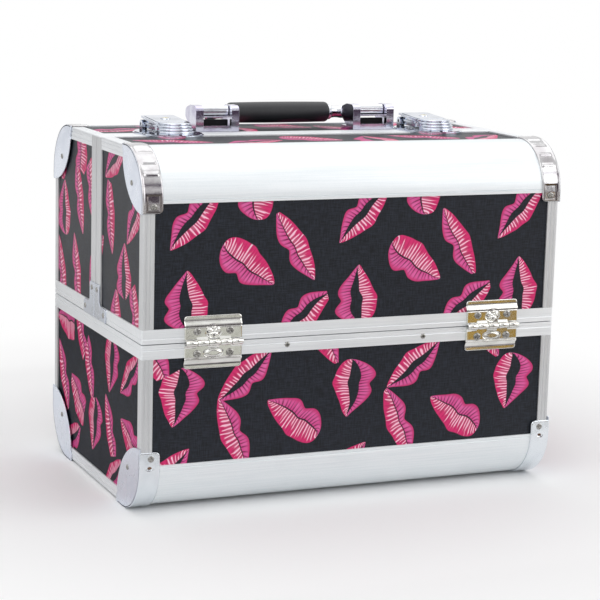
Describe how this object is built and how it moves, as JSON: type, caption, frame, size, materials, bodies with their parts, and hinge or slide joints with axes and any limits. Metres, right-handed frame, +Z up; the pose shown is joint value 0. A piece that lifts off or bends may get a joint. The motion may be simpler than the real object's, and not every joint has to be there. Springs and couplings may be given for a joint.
{
  "type": "makeup train case",
  "caption": "Aluminium-framed makeup train case with two outward-opening lid halves, cantilever trays, corner caps, latches and a folding top handle.",
  "frame": {"origin": "middle of the underside, on the surface the case stands on", "axes": "+X to the right seen from the front, +Y from front to back, +Z up"},
  "size_m": [0.3236, 0.2194, 0.273],
  "materials": {
    "printed_board": "fine woven print film with pink lips on board",
    "floor_board": "black board",
    "satin_aluminium": "satin, finely grooved",
    "chrome": "bright pressed and cast plate",
    "lining": "black flock",
    "tray": "black moulded, fine grain",
    "brass": "polished",
    "grip": "black padded skin, satin",
    "steel": "plated"
  },
  "bodies": {
    "base": {"base_floor": "floor_board", "base_front_panel": "printed_board", "base_rear_panel": "printed_board", "base_side_panels": "printed_board", "base_curves": "satin_aluminium", "base_rim": "satin_aluminium", "base_posts": "satin_aluminium", "base_side_trims": "satin_aluminium", "base_corner_caps": "chrome", "base_liner": "lining", "hinge_base_leaves": "chrome", "base_pins": "steel", "base_screws": "steel", "base_rivets": "steel"},
    "front_lid": {"front_lid_face": "printed_board", "front_lid_top": "printed_board", "front_lid_sides": "printed_board", "front_lid_curve": "satin_aluminium", "front_lid_rim": "satin_aluminium", "front_lid_centre_strip": "satin_aluminium", "front_lid_posts": "satin_aluminium", "front_lid_trims": "satin_aluminium", "front_lid_caps": "chrome", "front_lid_braces": "chrome", "front_lid_hinge_leaves": "chrome", "front_lid_lining": "lining", "front_lid_screws": "steel", "front_tray_pins": "steel", "latch_strikes": "chrome"},
    "rear_lid": {"rear_lid_face": "printed_board", "rear_lid_top": "printed_board", "rear_lid_sides": "printed_board", "rear_lid_curve": "satin_aluminium", "rear_lid_rim": "satin_aluminium", "rear_lid_centre_strip": "satin_aluminium", "rear_lid_posts": "satin_aluminium", "rear_lid_trims": "satin_aluminium", "rear_lid_caps": "chrome", "rear_lid_braces": "chrome", "rear_lid_hinge_leaves": "chrome", "rear_lid_lining": "lining", "rear_lid_screws": "steel", "rear_tray_pins": "steel", "latch_bases": "chrome", "handle_brackets": "chrome", "rear_lid_pins": "steel"},
    "left_hasp": {"left_hasp": "chrome"},
    "right_hasp": {"right_hasp": "chrome"},
    "left_key": {"left_key_cylinder": "brass"},
    "right_key": {"right_key_cylinder": "brass"},
    "left_bolt": {"left_bolt": "steel"},
    "right_bolt": {"right_bolt": "steel"},
    "handle": {"handle_bail": "chrome", "handle_grip": "grip"},
    "front_lower_tray": {"front_lower_tray": "tray"},
    "front_upper_tray": {"front_upper_tray": "tray"},
    "rear_lower_tray": {"rear_lower_tray": "tray"},
    "rear_upper_tray": {"rear_upper_tray": "tray"},
    "front_arms": {"front_arms": "steel"},
    "rear_arms": {"rear_arms": "steel"}
  },
  "joints": [
    {"name": "front_lid_hinge", "type": "hinge", "parent": "base", "child": "front_lid", "pos_m": [0, -0.107, 0.122], "axis": [1, 0, 0], "range_deg": [0, 90]},
    {"name": "front_arm_pivot", "type": "hinge", "parent": "base", "child": "front_arms", "pos_m": [0, -0.082, 0.116], "axis": [1, 0, 0], "range_deg": [0, 90]},
    {"name": "front_lower_tray_pivot", "type": "hinge", "parent": "front_lid", "child": "front_lower_tray", "pos_m": [0, -0.071, 0.158], "axis": [1, 0, 0], "range_deg": [-90, 0]},
    {"name": "front_upper_tray_pivot", "type": "hinge", "parent": "front_lid", "child": "front_upper_tray", "pos_m": [0, -0.04, 0.189], "axis": [1, 0, 0], "range_deg": [-90, 0]},
    {"name": "rear_lid_hinge", "type": "hinge", "parent": "base", "child": "rear_lid", "pos_m": [0, 0.107, 0.122], "axis": [-1, 0, 0], "range_deg": [0, 90]},
    {"name": "rear_arm_pivot", "type": "hinge", "parent": "base", "child": "rear_arms", "pos_m": [0, 0.082, 0.116], "axis": [-1, 0, 0], "range_deg": [0, 90]},
    {"name": "rear_lower_tray_pivot", "type": "hinge", "parent": "rear_lid", "child": "rear_lower_tray", "pos_m": [0, 0.071, 0.158], "axis": [-1, 0, 0], "range_deg": [-90, 0]},
    {"name": "rear_upper_tray_pivot", "type": "hinge", "parent": "rear_lid", "child": "rear_upper_tray", "pos_m": [0, 0.04, 0.189], "axis": [-1, 0, 0], "range_deg": [-90, 0]},
    {"name": "handle_fold", "type": "hinge", "parent": "rear_lid", "child": "handle", "pos_m": [0, 0.021, 0.268], "axis": [1, 0, 0], "range_deg": [0, 97]},
    {"name": "left_hasp_hinge", "type": "hinge", "parent": "rear_lid", "child": "left_hasp", "pos_m": [-0.105, 0.027, 0.2592], "axis": [-1, 0, 0], "range_deg": [0, 95]},
    {"name": "left_bolt_slide", "type": "slide", "parent": "left_hasp", "child": "left_bolt", "axis": [0, -1, 0], "range_m": [0, 0.0125]},
    {"name": "left_key_turn", "type": "hinge", "parent": "left_hasp", "child": "left_key", "pos_m": [-0.105, 0.01, 0.26], "axis": [0, 0, 1], "range_deg": [0, 90]},
    {"name": "right_hasp_hinge", "type": "hinge", "parent": "rear_lid", "child": "right_hasp", "pos_m": [0.105, 0.027, 0.2592], "axis": [-1, 0, 0], "range_deg": [0, 95]},
    {"name": "right_bolt_slide", "type": "slide", "parent": "right_hasp", "child": "right_bolt", "axis": [0, -1, 0], "range_m": [0, 0.0125]},
    {"name": "right_key_turn", "type": "hinge", "parent": "right_hasp", "child": "right_key", "pos_m": [0.105, 0.01, 0.26], "axis": [0, 0, 1], "range_deg": [0, 90]}
  ],
  "couplings": [
    {"joint": "front_arm_pivot", "follows": "front_lid_hinge", "ratio": 1},
    {"joint": "front_lower_tray_pivot", "follows": "front_lid_hinge", "ratio": -1},
    {"joint": "front_upper_tray_pivot", "follows": "front_lid_hinge", "ratio": -1},
    {"joint": "rear_arm_pivot", "follows": "rear_lid_hinge", "ratio": 1},
    {"joint": "rear_lower_tray_pivot", "follows": "rear_lid_hinge", "ratio": -1},
    {"joint": "rear_upper_tray_pivot", "follows": "rear_lid_hinge", "ratio": -1},
    {"joint": "left_key_turn", "follows": "left_bolt_slide", "rad_per_m": 125.6},
    {"joint": "right_key_turn", "follows": "right_bolt_slide", "rad_per_m": 125.6}
  ]
}
